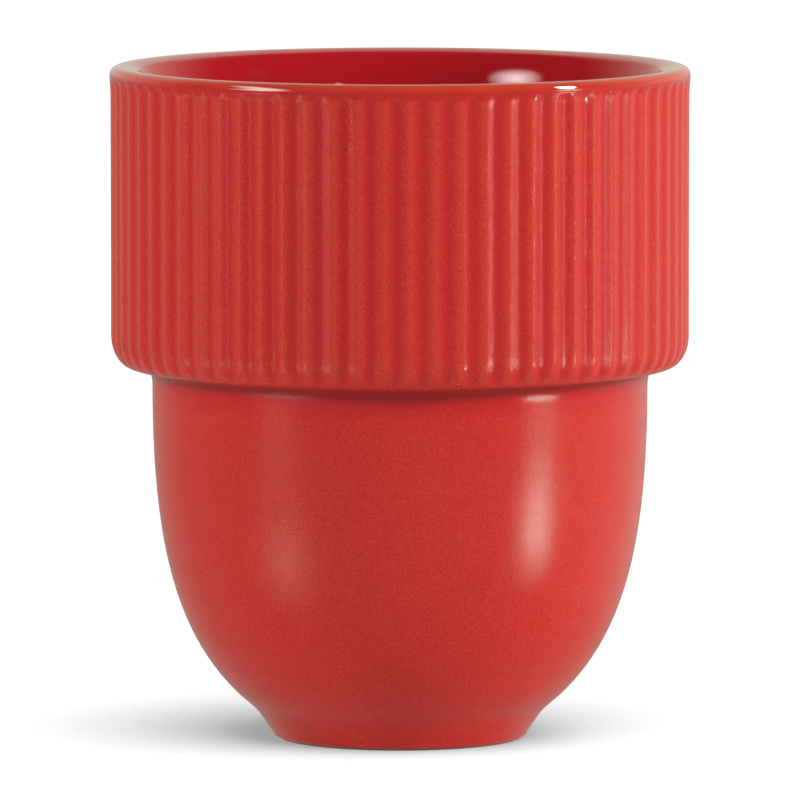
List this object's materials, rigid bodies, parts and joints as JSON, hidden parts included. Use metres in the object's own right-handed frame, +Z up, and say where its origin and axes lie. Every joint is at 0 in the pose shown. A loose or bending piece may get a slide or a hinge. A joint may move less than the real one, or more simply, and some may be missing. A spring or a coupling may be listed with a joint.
{
  "type": "stackable mug",
  "caption": "Handleless stacking mug in red glazed stoneware: a wide fluted collar over a smooth rounded bowl on a small foot. The bowl nests in the collar of a like mug.",
  "frame": {"origin": "centre of the circle that the foot ring stands on", "axes": "+Z up along the mug's axis; the middle of one flute faces -Y, which is the pictured side"},
  "size_m": [0.085, 0.085, 0.0987],
  "materials": {
    "bare_stoneware": "bare fired clay, matte",
    "satin_glaze": "satin red glaze with a fine grain, paler on the crests",
    "gloss_glaze": "gloss deep red glaze"
  },
  "bodies": {
    "root": {"stoneware_body": "bare_stoneware", "outer_satin_glaze": "satin_glaze", "inner_gloss_glaze": "gloss_glaze", "base_glaze": "satin_glaze"}
  },
  "joints": []
}
